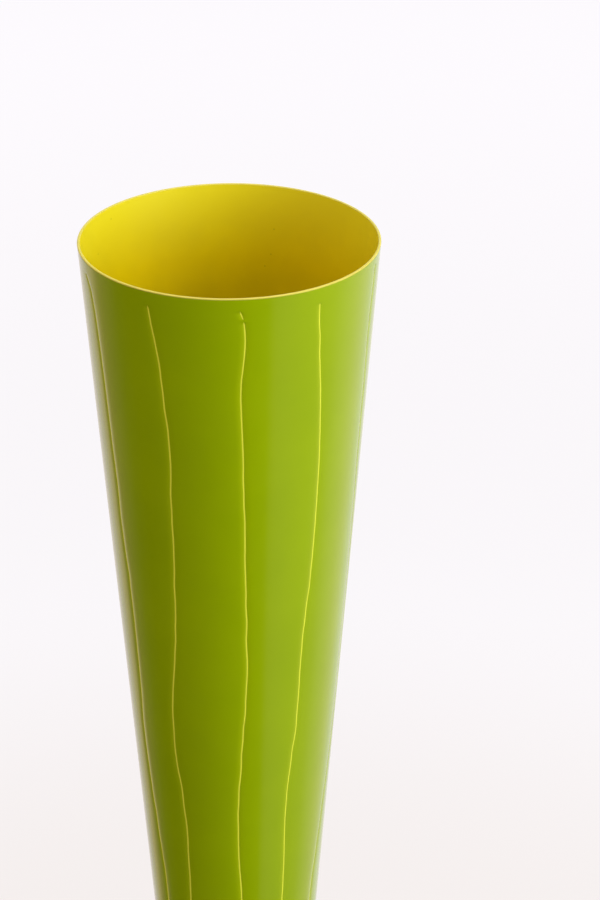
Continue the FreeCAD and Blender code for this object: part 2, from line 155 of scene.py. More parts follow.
@dataclass(frozen=True)
class Finish:
    """What every finish has: a colour, a roughness, and patterns with a real size.

    Attributes:
        name: the material's name.
        colour: the main colour, as six hex digits.
        roughness: the middle roughness.
        roughness_span: the least and the most roughness, as shares of the middle one.
    """

    name: str
    colour: str
    roughness: float
    roughness_span: Pair = (1.0, 1.0)

    def material(self) -> bpy.types.Material:
        """Make the material.

        Returns:
            The new material, named for the finish.
        """
        material = bpy.data.materials.new(self.name)
        material.use_nodes = True
        tree = material.node_tree
        tree.nodes.clear()
        place = add_node(tree, "ShaderNodeTexCoord").outputs["Object"]
        surface = self.surface(tree, place)
        add_node(tree, "ShaderNodeOutputMaterial", inputs={"Surface": surface})
        material.diffuse_color = linear(self.colour)
        return material

    def surface(self, tree: Tree, place: Socket) -> Socket:
        """Build the finish's shader.

        Args:
            tree: the material's node tree.
            place: Object coordinates.

        Returns:
            The shader's output.
        """
        raise NotImplementedError

    def pattern(
        self, tree: Tree, place: Socket, size_mm: float, span: Pair = (0.0, 1.0), detail: float = 2.0
    ) -> Socket:
        """Spread a cloudy pattern over the surface.

        Args:
            tree: the material's node tree.
            place: Object coordinates.
            size_mm: real size of one cloud.
            span: the pattern's least and greatest value.
            detail: how many finer patterns lie in it.

        Returns:
            The pattern's value.
        """
        inputs = {"Vector": place, "Scale": per_metre(size_mm), "Detail": detail}
        clouds = add_node(tree, "ShaderNodeTexNoise", inputs=inputs).outputs["Fac"]
        inputs = {
            "Value": clouds,
            "From Min": NOISE_RANGE[0],
            "From Max": NOISE_RANGE[1],
            "To Min": span[0],
            "To Max": span[1],
        }
        return add_node(tree, "ShaderNodeMapRange", inputs=inputs).outputs["Result"]

    def uneven_roughness(
        self, tree: Tree, place: Socket, size_mm: float, detail: float = 2.0
    ) -> Socket:
        """Return the roughness, which varies over its span in clouds of size_mm."""
        span = (self.roughness * self.roughness_span[0], self.roughness * self.roughness_span[1])
        return self.pattern(tree, place, size_mm, span, detail)

    def relief(
        self,
        tree: Tree,
        place: Socket,
        size_mm: float,
        depth_mm: float,
        detail: float = 1.0,
        under: Socket | None = None,
    ) -> Socket:
        """Give the surface small bumps.

        Args:
            tree: the material's node tree.
            place: Object coordinates.
            size_mm: real size of one bump.
            depth_mm: how high the bumps are.
            detail: how many finer bumps lie on them.
            under: the normal of a broader relief that this one lies on.

        Returns:
            The bumped normal.
        """
        inputs: dict[str | int, Any] = {
            "Vector": place, "Scale": per_metre(size_mm), "Detail": detail,
        }
        bumps = add_node(tree, "ShaderNodeTexNoise", inputs=inputs).outputs["Fac"]
        inputs = {"Height": bumps, "Distance": depth_mm * MM, "Strength": 1.0}
        if under is not None:
            inputs["Normal"] = under
        return add_node(tree, "ShaderNodeBump", inputs=inputs).outputs["Normal"]

    def layered(self, tree: Tree, layers: Sequence[tuple[Socket, str]]) -> Socket:
        """Lay colours over the finish's own colour.

        Args:
            tree: the material's node tree.
            layers: from the bottom up, how much each layer covers, from 0 to 1, and its colour.

        Returns:
            The colour of the surface.
        """
        colour: Any = linear(self.colour)
        for share, hex_colour in layers:
            inputs = {0: share, 6: colour, 7: linear(hex_colour)}
            colour = add_node(tree, "ShaderNodeMix", {"data_type": "RGBA"}, inputs).outputs[2]
        return colour


@dataclass(frozen=True)
class GreenEnamel(Finish):
    """Vitreous enamel, fired glossy: it flows level, so it mirrors softly with a faint ripple.

    Where the film thins, beside a scribed line and at an edge, the yellow ground shows through; the
    bank before each line takes more of it, painted light that makes that side paler.

    Attributes:
        thin_colour: the colour where the film is thin.
        deep_colour: the colour of the pools where it is thick, pool_mm across.
        pool_share: how much of deep_colour the deepest pool has.
        gloss_per_pool: how many clouds of more and less gloss lie across a pool.
        ripple_mm: length of the broad waves, and ripple_depth_mm their height.
        peel_mm: size of the fine orange peel, and peel_depth_mm its height.
    """

    roughness_span: Pair = (0.8, 1.2)
    thin_colour: str = "A9B814"
    deep_colour: str = "7E9600"
    pool_mm: float = 34.0
    pool_share: float = 0.22
    gloss_per_pool: int = 3
    ripple_mm: float = 26.0
    ripple_depth_mm: float = 0.05
    peel_mm: float = 1.8
    peel_depth_mm: float = 0.0012
    refraction: float = 1.6

    def surface(self, tree: Tree, place: Socket) -> Socket:
        """Build the glossy green, with its deeper pools, its ripple, its thin film and the painted
        light on the bank before each line.

        Args:
            tree: the material's node tree.
            place: Object coordinates.

        Returns:
            The shader's output.
        """
        pools = self.pattern(tree, place, self.pool_mm, (0.0, self.pool_share))
        # The film mask is thin enamel, with painted light on the bank before each line.
        film = add_node(tree, "ShaderNodeAttribute", {"attribute_name": "thin_film_and_painted_light"}).outputs["Fac"]
        colour = self.layered(tree, [(pools, self.deep_colour), (film, self.thin_colour)])
        gloss = self.uneven_roughness(tree, place, self.pool_mm / self.gloss_per_pool)
        ripple = self.relief(tree, place, self.ripple_mm, self.ripple_depth_mm, detail=0.0)
        peel = self.relief(tree, place, self.peel_mm, self.peel_depth_mm, under=ripple)
        inputs = {"Base Color": colour, "Roughness": gloss, "Normal": peel, "IOR": self.refraction}
        return add_node(tree, "ShaderNodeBsdfPrincipled", inputs=inputs).outputs[0]


@dataclass(frozen=True)
class YellowEnamel(Finish):
    """Ground-coat enamel, left satin: a broad warm sheen, fine orange peel and a few pinholes.

    Near the mouth it is painted paler and more lemon than deep in the cone: painted light where
    the light reaches in. The rolled lip is painted paler, a painted highlight for its sheen, and
    the bottom of a scribed line is painted brighter than the yellow ground, painted light that
    makes up for the shade in the groove.

    Attributes:
        worn_colour: the colour of the clouds where the film is thinner, cloud_mm across.
        sheen_per_cloud: how many clouds of more and less sheen lie across one of them.
        rim_mm: height of the lip, from which the places inside the cone are measured.
        waist_mm: height of the cone's narrow end.
        mouth_fade_mm: depths below the lip at which the painted mouth light begins and is full.
        pits: bearing in degrees and depth below the lip, in mm, of each pit inside the cone:
            0 faces the front, and the bearing grows towards +X.
    """

    roughness_span: Pair = (0.9, 1.1)
    worn_colour: str = "BBA400"
    painted_mouth_light_colour: str = "CFC21A"
    pinhole_colour: str = "5E6413"
    # Painted light: a groove's bottom is brighter than the yellow ground, to make up for the shade
    # in the groove.
    scribed_painted_light_colour: str = "DCE03C"
    # Painted highlight: the lip is paler, standing in for its sheen.
    lip_painted_highlight_colour: str = "C0B54C"
    sheen_colour: str = "FFF8A0"
    rim_mm: float = 610.0
    waist_mm: float = 58.0
    mouth_fade_mm: Pair = (40.0, 4.0)
    cloud_mm: float = 30.0
    cloud_share: float = 0.5
    sheen_per_cloud: int = 4
    peel_mm: float = 1.2
    peel_depth_mm: float = 0.004
    pinhole_pitch_mm: float = 34.0
    pinhole_mm: float = 0.4
    pits: tuple[Pair, ...] = (
        (-124.6, 6.3), (-112.8, 19.9), (163.6, 36.9), (166.1, 43.7), (162.5, 23.2),
    )
    pit_mm: float = 0.45
    pit_shade: float = 0.9
    refraction: float = 1.45

    def surface(self, tree: Tree, place: Socket) -> Socket:
        """Build the satin yellow, with its clouds, its specks, the painted light near the mouth, the
        lip's painted highlight and the painted light at the bottom of the bare lines.

        Args:
            tree: the material's node tree.
            place: Object coordinates.

        Returns:
            The shader's output.
        """
        layers = [
            (self.pattern(tree, place, self.cloud_mm, (0.0, self.cloud_share)), self.worn_colour),
            # Painted light: the colour grows paler and more lemon towards the mouth, so the cone
            # darkens deeper in.
            (self.near_mouth(tree, place), self.painted_mouth_light_colour),
            (self.specks(tree, place), self.pinhole_colour),
        ]
        for name, colour in (("scribed", self.scribed_painted_light_colour), ("rolled_lip", self.lip_painted_highlight_colour)):
            written = add_node(tree, "ShaderNodeAttribute", {"attribute_name": name})
            layers.append((written.outputs["Fac"], colour))
        sheen_mm = self.cloud_mm / self.sheen_per_cloud
        inputs = {
            "Base Color": self.layered(tree, layers),
            "Roughness": self.uneven_roughness(tree, place, sheen_mm),
            "Normal": self.relief(tree, place, self.peel_mm, self.peel_depth_mm),
            "IOR": self.refraction,
            "Specular Tint": linear(self.sheen_colour),
        }
        return add_node(tree, "ShaderNodeBsdfPrincipled", inputs=inputs).outputs[0]

    def near_mouth(self, tree: Tree, place: Socket) -> Socket:
        """Measure how near the mouth a place is, for the painted light there.

        Args:
            tree: the material's node tree.
            place: Object coordinates.

        Returns:
            A share that grows from 0 in the depth of the cone to 1 beside the lip.
        """
        height = add_node(tree, "ShaderNodeSeparateXYZ", inputs={0: place}).outputs["Z"]
        low, high = ((self.rim_mm - depth_mm) * MM for depth_mm in self.mouth_fade_mm)
        inputs = {"Value": height, "From Min": low, "From Max": high}
        return add_node(tree, "ShaderNodeMapRange", inputs=inputs).outputs["Result"]

    def specks(self, tree: Tree, place: Socket) -> Socket:
        """Scatter pinholes, and set the pits of the cone's inside.

        Args:
            tree: the material's node tree.
            place: Object coordinates.

        Returns:
            A mask of dark specks, from 0 to 1.
        """
        inputs = {"Vector": place, "Scale": per_metre(self.pinhole_pitch_mm)}
        cells = add_node(tree, "ShaderNodeTexVoronoi", {"feature": "F1"}, inputs)
        inputs = {0: cells.outputs["Distance"], 1: self.pinhole_mm / self.pinhole_pitch_mm}
        mask = add_node(tree, "ShaderNodeMath", {"operation": "LESS_THAN"}, inputs).outputs[0]
        for bearing, depth_mm in self.pits:
            inputs = {0: mask, 1: self.pit(tree, place, bearing, depth_mm)}
            mask = add_node(tree, "ShaderNodeMath", {"operation": "MAXIMUM"}, inputs).outputs[0]
        return mask

    def pit(self, tree: Tree, place: Socket, bearing: float, depth_mm: float) -> Socket:
        """Make the mask of one pit of the cone's inside.

        Args:
            tree: the material's node tree.
            place: Object coordinates.
            bearing: the pit's bearing in degrees.
            depth_mm: how far below the lip the pit is.

        Returns:
            A mask that is darkest in the middle of the pit.
        """
        height = (self.rim_mm - depth_mm) * MM
        radius = Cone(self.waist_mm * MM, self.rim_mm * MM).inside(height)
        angle = math.radians(bearing)
        centre = (radius * math.sin(angle), -radius * math.cos(angle), height)
        inputs = {0: place, 1: centre}
        away = add_node(tree, "ShaderNodeVectorMath", {"operation": "DISTANCE"}, inputs)
        inputs = {
            "Value": away.outputs["Value"],
            "From Min": 0.0,
            "From Max": self.pit_mm * MM,
            "To Min": self.pit_shade,
            "To Max": 0.0,
        }
        return add_node(tree, "ShaderNodeMapRange", inputs=inputs).outputs["Result"]


@dataclass(frozen=True)
class ZincSteel(Finish):
    """Zinc-plated mild steel, turned or stamped: fine drawn lines and a dull bluish bloom."""

    roughness_span: Pair = (0.8, 1.25)
    bloom_colour: str = "A7ABA8"
    bloom_mm: float = 6.0
    line_mm: float = 0.35
    line_stretch: float = 12.0
    line_depth_mm: float = 0.004

    def surface(self, tree: Tree, place: Socket) -> Socket:
        """Build the plating, with its drawn lines round the axis.

        Args:
            tree: the material's node tree.
            place: Object coordinates.

        Returns:
            The shader's output.
        """
        bloom = self.pattern(tree, place, self.bloom_mm, detail=3.0)
        inputs = {"Vector": place, "Scale": (1.0, 1.0, self.line_stretch)}
        along = add_node(tree, "ShaderNodeMapping", inputs=inputs).outputs["Vector"]
        inputs = {
            "Base Color": self.layered(tree, [(bloom, self.bloom_colour)]),
            "Metallic": 1.0,
            "Roughness": self.uneven_roughness(tree, along, self.line_mm, detail=1.0),
            "Normal": self.relief(tree, along, self.line_mm, self.line_depth_mm),
        }
        return add_node(tree, "ShaderNodeBsdfPrincipled", inputs=inputs).outputs[0]


@dataclass(frozen=True)
class CastIron(Finish):
    """Sand-cast grey iron: the skin keeps the mould's grain, with a trace of rust."""

    rust_colour: str = "4A2A1A"
    rust_mm: float = 9.0
    rust_span: Pair = (-0.6, 0.7)
    sand_mm: float = 0.8
    sand_depth_mm: float = 0.15
    metal_share: float = 0.3

    def surface(self, tree: Tree, place: Socket) -> Socket:
        """Build the casting's rough skin and its rust.

        Args:
            tree: the material's node tree.
            place: Object coordinates.

        Returns:
            The shader's output.
        """
        rust = self.pattern(tree, place, self.rust_mm, self.rust_span, detail=4.0)
        inputs = {
            "Base Color": self.layered(tree, [(rust, self.rust_colour)]),
            "Metallic": self.metal_share,
            "Roughness": self.roughness,
            "Normal": self.relief(tree, place, self.sand_mm, self.sand_depth_mm, detail=3.0),
        }
        return add_node(tree, "ShaderNodeBsdfPrincipled", inputs=inputs).outputs[0]


@dataclass(frozen=True)
class NitrileRubber(Finish):
    """Moulded nitrile rubber: black, matt, with a faint dusty bloom."""

    dust_colour: str = "2E2E2C"
    dust_mm: float = 2.5
    dust_share: float = 0.6
    skin_mm: float = 0.3
    skin_depth_mm: float = 0.01

    def surface(self, tree: Tree, place: Socket) -> Socket:
        """Build the rubber's matt skin and its dust.

        Args:
            tree: the material's node tree.
            place: Object coordinates.

        Returns:
            The shader's output.
        """
        dust = self.pattern(tree, place, self.dust_mm, (0.0, self.dust_share), detail=3.0)
        inputs = {
            "Base Color": self.layered(tree, [(dust, self.dust_colour)]),
            "Roughness": self.roughness,
            "Normal": self.relief(tree, place, self.skin_mm, self.skin_depth_mm),
        }
        return add_node(tree, "ShaderNodeBsdfPrincipled", inputs=inputs).outputs[0]


@dataclass(frozen=True)
class WoolFelt(Finish):
    """Pressed wool felt: matted fibres with a soft nap that lightens at a glancing angle."""

    fibre_colour: str = "4E5A3C"
    fibre_mm: float = 0.6
    fibre_depth_mm: float = 0.12
    nap_weight: float = 0.5
    nap_roughness: float = 0.5

    def surface(self, tree: Tree, place: Socket) -> Socket:
        """Build the felt's fibres and its nap.

        Args:
            tree: the material's node tree.
            place: Object coordinates.

        Returns:
            The shader's output.
        """
        pale = self.pattern(tree, place, self.fibre_mm, detail=4.0)
        inputs = {
            "Base Color": self.layered(tree, [(pale, self.fibre_colour)]),
            "Roughness": self.roughness,
            "Normal": self.relief(tree, place, self.fibre_mm, self.fibre_depth_mm, detail=4.0),
            "Sheen Weight": self.nap_weight,
            "Sheen Roughness": self.nap_roughness,
        }
        return add_node(tree, "ShaderNodeBsdfPrincipled", inputs=inputs).outputs[0]


@dataclass(frozen=True)
class ScribedLine:
    """One line scribed down the cone, by its bends.

    Attributes:
        bends: the share of the way from the lip to the waist, with the bearing in degrees
            there: 0 faces the front, and it grows towards +X.
        weight: how wide the scriber's cut is, as a share of the usual width.
        gaps: first and last share of each stretch where the scriber skipped.
    """

    bends: tuple[Pair, ...]
    weight: float = 1.0
    gaps: tuple[Pair, ...] = ()

    def bearing(self, share: float) -> float:
        """Read the line on a smooth curve through its bends.

        Args:
            share: how far down the cone, from 0 at the lip to 1 at the waist.

        Returns:
            The bearing in degrees.
        """
        points = self.bends
        if share <= points[0][0]:
            return points[0][1]
        if share >= points[-1][0]:
            return points[-1][1]
        number = next(i for i in range(1, len(points)) if share <= points[i][0])
        before, after = points[number - 1], points[number]
        step = after[0] - before[0]
        part = (share - before[0]) / step
        start, end = self._slope(number - 1) * step, self._slope(number) * step
        square, cube = part * part, part * part * part
        return (
            before[1] * (2 * cube - 3 * square + 1)
            + start * (cube - 2 * square + part)
            + after[1] * (3 * square - 2 * cube)
            + end * (cube - square)
        )

    def _slope(self, number: int) -> float:
        """Work out the curve's slope at a bend from the bends on each side of it.

        Args:
            number: the bend's number, from 0.

        Returns:
            Degrees for the whole way down.
        """
        first, last = max(number - 1, 0), min(number + 1, len(self.bends) - 1)
        rise = self.bends[last][1] - self.bends[first][1]
        return rise / (self.bends[last][0] - self.bends[first][0])


SCRIBED_LINES = (
    ScribedLine((
        (0.012, -69.0), (0.027, -65.2), (0.06, -63.0), (0.11, -61.8), (0.17, -60.9), (0.22, -59.9),
        (0.26, -60.1), (0.32, -58.1), (0.40, -57.8), (0.44, -58.4), (0.48, -59.8), (0.54, -57.8),
        (0.59, -55.1), (0.65, -52.0), (0.73, -52.6), (0.82, -55.4), (0.90, -56.0), (0.985, -54.0),
    ), 1.25),
    ScribedLine((
        (0.015, -31.0), (0.035, -29.9), (0.065, -27.9), (0.10, -26.8), (0.16, -25.2), (0.21, -26.0),
        (0.29, -26.9), (0.36, -28.5), (0.41, -31.6), (0.45, -33.8), (0.485, -33.8), (0.54, -30.6),
        (0.58, -29.7), (0.65, -30.1), (0.74, -32.0), (0.83, -31.0), (0.91, -28.6), (0.98, -28.0),
    ), 1.3),
    ScribedLine((
        (0.013, 4.8), (0.024, 6.2), (0.036, 6.9), (0.05, 6.8), (0.07, 5.9), (0.09, 5.1),
        (0.145, 5.7), (0.24, 6.8), (0.33, 7.7), (0.41, 7.9), (0.45, 6.5), (0.49, 5.0),
        (0.53, 3.8), (0.58, 3.3), (0.65, 5.0), (0.73, 7.2), (0.81, 6.6), (0.90, 4.4), (0.985, 4.0),
    ), 1.05, ((0.0212, 0.0232),)),
    ScribedLine((
        (0.016, 36.9), (0.045, 37.6), (0.08, 38.9), (0.12, 40.4), (0.17, 41.5), (0.24, 41.7),
        (0.29, 41.1), (0.33, 39.6), (0.37, 38.2), (0.43, 37.8), (0.47, 37.0), (0.51, 34.6),
        (0.56, 33.2), (0.62, 34.0), (0.70, 34.6), (0.79, 36.9), (0.88, 38.0), (0.985, 36.0),
    ), 0.88),
    ScribedLine((
        (0.008, 74.3), (0.03, 74.1), (0.065, 72.9), (0.12, 74.0), (0.20, 75.2), (0.26, 78.0),
        (0.33, 80.5), (0.43, 81.0), (0.51, 77.6), (0.57, 72.0), (0.62, 68.0), (0.655, 64.6),
        (0.72, 63.8), (0.80, 66.8), (0.89, 70.0), (0.98, 70.8),
    ), 0.5),
    ScribedLine((
        (0.013, 111.0), (0.05, 112.5), (0.12, 114.5), (0.20, 113.5), (0.29, 111.5), (0.37, 112.0),
        (0.45, 115.0), (0.52, 117.0), (0.60, 115.5), (0.70, 112.5), (0.80, 111.5), (0.90, 113.5),
        (0.985, 115.0),
    )),
    ScribedLine((
        (0.016, 147.0), (0.06, 149.0), (0.14, 150.5), (0.23, 149.0), (0.31, 147.0), (0.40, 148.5),
        (0.48, 151.5), (0.57, 152.0), (0.66, 149.5), (0.76, 147.5), (0.87, 149.0), (0.98, 151.0),
    )),
    ScribedLine((
        (0.012, 186.0), (0.04, 184.0), (0.11, 182.5), (0.20, 184.0), (0.28, 186.5), (0.36, 187.0),
        (0.44, 184.5), (0.53, 182.0), (0.62, 183.0), (0.72, 186.0), (0.82, 188.0), (0.91, 187.0),
        (0.985, 185.0),
    )),
    ScribedLine((
        (0.015, 222.0), (0.05, 223.5), (0.13, 222.0), (0.21, 219.0), (0.30, 218.5), (0.38, 221.0),
        (0.47, 224.0), (0.55, 224.5), (0.64, 222.0), (0.74, 219.5), (0.85, 219.0), (0.975, 221.5),
    )),
    ScribedLine((
        (0.011, 259.0), (0.05, 257.0), (0.12, 256.5), (0.20, 258.5), (0.29, 261.0), (0.37, 261.5),
        (0.46, 259.0), (0.55, 257.0), (0.64, 258.0), (0.75, 261.0), (0.86, 262.5), (0.985, 260.0),
    )),
)


@dataclass(frozen=True)
class Cone:
    """The cone's surfaces, between the heights that the frame gives.

    Attributes:
        waist: height of the cone's narrow end.
        rim: height of the lip.
        mouth_radius: radius over the green enamel at the lip.
        waist_radius: radius over the green enamel at the waist.
        coat: thickness of the green enamel.
        wall: thickness of the sheet with its yellow enamel.
    """

    waist: float
    rim: float
    mouth_radius: float = 76.0 * MM
    waist_radius: float = 29.9 * MM
    coat: float = 0.3 * MM
    wall: float = 1.1 * MM

    def enamel(self, height: float) -> float:
        """Return the radius over the green enamel at a height."""
        share = (height - self.waist) / (self.rim - self.waist)
        return self.waist_radius + (self.mouth_radius - self.waist_radius) * share

    def metal(self, height: float) -> float:
        """Return the radius of the yellow outer face at a height."""
        return self.enamel(height) - self.coat

    def inside(self, height: float) -> float:
        """Return the radius of the hollow at a height."""
        return self.metal(height) - self.wall

    def down(self, height: float) -> float:
        """Return how far down the cone a height is, from 0 at the lip to 1 at the waist."""
        return (self.rim - height) / (self.rim - self.waist)


def deselect_all() -> None:
    """Leave no object selected, so that an operator acts on the new piece alone."""
    bpy.ops.object.select_all(action="DESELECT")


def select_alone(piece: bpy.types.Object) -> None:
    """Make a piece the only selected object, and the active one.

    Args:
        piece: the piece.
    """
    deselect_all()
    piece.select_set(True)
    bpy.context.view_layer.objects.active = piece


def settle(piece: bpy.types.Object, crease_degrees: float = 32.0) -> None:
    """Apply the piece's place to its mesh and shade it smooth.

    Args:
        piece: the new piece.
        crease_degrees: the angle between two faces above which their edge stays sharp.
    """
    select_alone(piece)
    bpy.ops.object.transform_apply(location=True, rotation=True, scale=True)
    bpy.ops.object.shade_smooth_by_angle(angle=math.radians(crease_degrees))


def apply_modifiers(piece: bpy.types.Object) -> None:
    """Apply every modifier of a piece in order.

    Args:
        piece: the piece, whose mesh is changed.
    """
    select_alone(piece)
    for modifier in list(piece.modifiers):
        bpy.ops.object.modifier_apply(modifier=modifier.name)


def arc(centre: Pair, radius: float, start: float, end: float, steps: int) -> Profile:
    """Draw a circular arc in a profile.

    Args:
        centre: the arc's centre, across and up.
        radius: the arc's radius.
        start: angle of the first point in degrees, anticlockwise from outwards.
        end: angle of the last point in degrees.
        steps: number of chords.

    Returns:
        The arc's points, both ends included.
    """
    angles = [math.radians(start + (end - start) * step / steps) for step in range(steps + 1)]
    return [(centre[0] + radius * math.cos(a), centre[1] + radius * math.sin(a)) for a in angles]


@dataclass
class Lathe:
    """Turns a profile about the vase's axis with edit-mode operators.

    Attributes:
        segments: how many flat sides a turned surface has.
        join: distance within which two points of a mesh become one.
    """

    segments: int = 288
    join: float = 1e-6

    def turn(self, name: str, profile: Profile, ring: bool = True) -> bpy.types.Object:
        """Turn a profile into a closed piece.

        Args:
            name: the new object's name.
            profile: (radius, height) of each ring, in order.
            ring: True for a closed section, False for one whose two ends are filled flat.

        Returns:
            The new object, at the origin, with its normals facing out.
        """
        deselect_all()
        radius, height = profile[0]
        bpy.ops.mesh.primitive_circle_add(
            vertices=self.segments, radius=radius, location=(0.0, 0.0, height)
        )
        piece = bpy.context.object
        piece.name = name
        piece.data.name = name
        bpy.ops.object.mode_set(mode="EDIT")
        if not ring:
            bpy.ops.mesh.edge_face_add()
        path = profile[1:] + (profile[:1] if ring else [])
        for next_radius, next_height in path:
            self._step((radius, height), (next_radius, next_height))
            radius, height = next_radius, next_height
        if not ring:
            bpy.ops.mesh.edge_face_add()
        bpy.ops.mesh.select_all(action="SELECT")
        bpy.ops.mesh.remove_doubles(threshold=self.join)
        bpy.ops.mesh.normals_make_consistent(inside=False)
        bpy.ops.object.mode_set(mode="OBJECT")
        settle(piece)
        return piece

    @staticmethod
    def _step(here: Pair, there: Pair) -> None:
        """Extrude the selected ring up or down and resize it to the next radius.

        Args:
            here: the ring's radius and height.
            there: the next ring's radius and height.
        """
        rise = there[1] - here[1]
        bpy.ops.mesh.extrude_edges_move(TRANSFORM_OT_translate={"value": (0.0, 0.0, rise)})
        scale = there[0] / here[0]
        bpy.ops.transform.resize(value=(scale, scale, 1.0), center_override=(0.0, 0.0, there[1]))


def dress(piece: bpy.types.Object, finish: bpy.types.Material) -> None:
    """Give a new piece its finish and its slot, and let it ride on the vase.

    Args:
        piece: the new piece.
        finish: the material of its whole surface.
    """
    piece.data.materials.clear()
    piece.data.materials.append(finish)
    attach(piece, BODY)


@dataclass
class YellowWall:
    """The cone of sheet metal, yellow inside, at the lip and at the bottom of each line.

    Attributes:
        lip_round: radius of the rolled lip's two upper edges.
        lip_height: how high the lip's band is outside, down to the green enamel.
        lip_soft: bevel of the lip's lower outer corner.
        lip_steps: number of chords in each of the lip's rounds.
        rings: number of bands up each face of the cone.
    """

    cone: Cone
    finish: bpy.types.Material
    lip_round: float = 0.5 * MM
    lip_height: float = 0.8 * MM
    lip_soft: float = 0.12 * MM
    lip_steps: int = 8
    rings: int = 14

    def build(self, lathe: Lathe) -> bpy.types.Object:
        """Turn the wall with its rolled lip.

        Args:
            lathe: what turns it.

        Returns:
            The finished wall.
        """
        cone, bend = self.cone, self.lip_round
        step = (cone.rim - bend - cone.waist) / self.rings
        heights = [cone.waist + step * ring for ring in range(self.rings + 1)]
        outside = [(cone.metal(height), height) for height in heights]
        inside = [(cone.inside(height), height) for height in reversed(heights)]
        crest = cone.rim - bend
        edge = cone.rim - self.lip_height
        under_edge = edge - self.lip_soft * 2
        outside = [point for point in outside if point[1] < under_edge]
        outside += [(cone.metal(under_edge), under_edge), (cone.metal(edge), edge)]
        lip = [(cone.enamel(edge) - self.lip_soft, edge), (cone.enamel(edge), edge + self.lip_soft)]
        lip += arc((cone.enamel(crest) - bend, crest), bend, 0.0, 90.0, self.lip_steps)
        lip += arc((cone.inside(crest) + bend, crest), bend, 90.0, 180.0, self.lip_steps)
        wall = lathe.turn("yellow_wall", outside + lip + inside)
        self._write_shares(wall, crest, edge)
        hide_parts("body_shell")
        dress(wall, self.finish)
        return wall

    def _write_shares(self, wall: bpy.types.Object, crest: float, edge: float) -> None:
        """Write on the mesh where the wall lies under the green, and where it is the lip.

        Args:
            wall: the turned wall.
            crest: height at which the lip's rounds begin.
            edge: height of the lip's lower edge.
        """
        scribed = wall.data.attributes.new("scribed", "FLOAT", "POINT")
        rolled = wall.data.attributes.new("rolled_lip", "FLOAT", "POINT")
        for vertex in wall.data.vertices:
            height = vertex.co.z
            middle = (self.cone.metal(height) + self.cone.inside(height)) / 2
            outside_face = math.hypot(vertex.co.x, vertex.co.y) > middle
            under_coat = height < edge - self.lip_soft
            # This mask lays the painted light at the bottom of each groove in the finish.
            scribed.data[vertex.index].value = 1.0 if outside_face and under_coat else 0.0
            # This mask lays the lip's painted highlight in the finish.
            on_lip = height > crest + self.lip_soft / 2 or (outside_face and not under_coat)
            rolled.data[vertex.index].value = 1.0 if on_lip else 0.0


